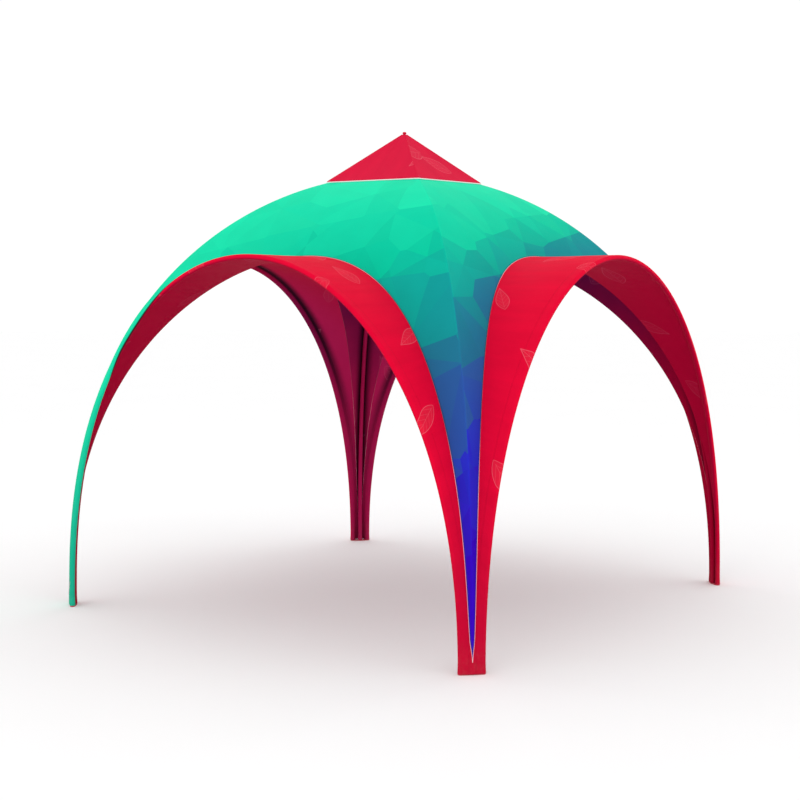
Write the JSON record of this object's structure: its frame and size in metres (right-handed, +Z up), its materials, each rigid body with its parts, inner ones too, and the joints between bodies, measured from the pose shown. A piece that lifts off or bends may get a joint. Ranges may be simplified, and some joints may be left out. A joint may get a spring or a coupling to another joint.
{
  "type": "dome tent",
  "caption": "Open-sided dome tent with arched hoods over its entrances, legs that taper to the ground, and a small peaked cap.",
  "frame": {"origin": "on the ground under the peak, in the middle of the four feet", "axes": "+Z up, +X and +Y out through the middles of two neighbouring entrances"},
  "size_m": [4.126, 4.126, 3.9544],
  "materials": {
    "green_fabric": "printed coated polyester, mint to blue facets",
    "red_fabric": "printed coated polyester, bright red",
    "lining_fabric": "dark red inner side of the fabric",
    "pole_alloy": "satin anodised",
    "bracket_steel": "steel with a red powder coat",
    "hub_plastic": "fine grained black"
  },
  "bodies": {
    "root": {"roof_panel_front": "green_fabric", "hood_front": "red_fabric", "edge_sleeve_front": "red_fabric", "edge_pole_front": "pole_alloy", "roof_panel_right": "green_fabric", "hood_right": "red_fabric", "edge_sleeve_right": "red_fabric", "edge_pole_right": "pole_alloy", "roof_panel_back": "green_fabric", "hood_back": "red_fabric", "edge_sleeve_back": "red_fabric", "edge_pole_back": "pole_alloy", "roof_panel_left": "green_fabric", "hood_left": "red_fabric", "edge_sleeve_left": "red_fabric", "edge_pole_left": "pole_alloy", "ridge_sleeve_front_right": "lining_fabric", "ridge_pole_front_right": "pole_alloy", "foot_bracket_front_right": "bracket_steel", "ridge_sleeve_back_right": "lining_fabric", "ridge_pole_back_right": "pole_alloy", "foot_bracket_back_right": "bracket_steel", "ridge_sleeve_back_left": "lining_fabric", "ridge_pole_back_left": "pole_alloy", "foot_bracket_back_left": "bracket_steel", "ridge_sleeve_front_left": "lining_fabric", "ridge_pole_front_left": "pole_alloy", "foot_bracket_front_left": "bracket_steel", "crown_hub": "hub_plastic", "peak_mast": "pole_alloy", "peak_cap": "red_fabric", "peak_knob": "red_fabric"}
  },
  "joints": []
}
